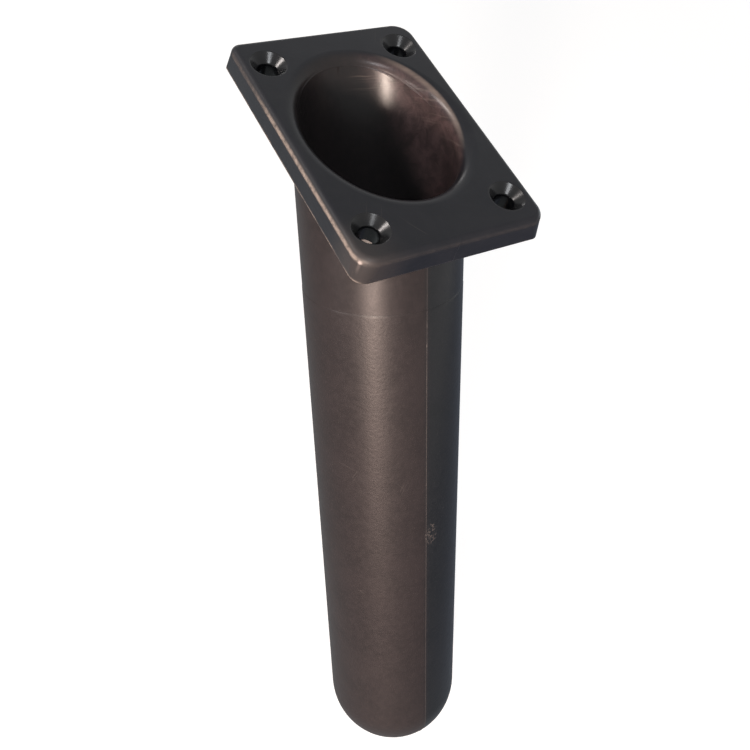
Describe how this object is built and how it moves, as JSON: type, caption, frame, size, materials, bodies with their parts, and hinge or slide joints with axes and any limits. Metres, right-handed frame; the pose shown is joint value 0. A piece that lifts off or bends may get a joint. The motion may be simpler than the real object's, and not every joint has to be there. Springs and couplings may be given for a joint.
{
  "type": "rod holder",
  "caption": "Flush-mount fishing rod holder: a thick screw-down flange with a rounded mouth, and a closed round tube leaning 30 degrees below the deck.",
  "frame": {"origin": "centre of the flange's underside, on the deck, where the tube's axis crosses it", "axes": "+Z out of the deck, +X towards the end of the flange that the tube leans to"},
  "size_m": [0.1728, 0.058, 0.2182],
  "materials": {
    "flange_plastic": "satin black moulded plastic",
    "tube_plastic": "finely mottled black moulded plastic"
  },
  "bodies": {
    "root": {"flange_socket": "flange_plastic", "tube": "tube_plastic"}
  },
  "joints": []
}
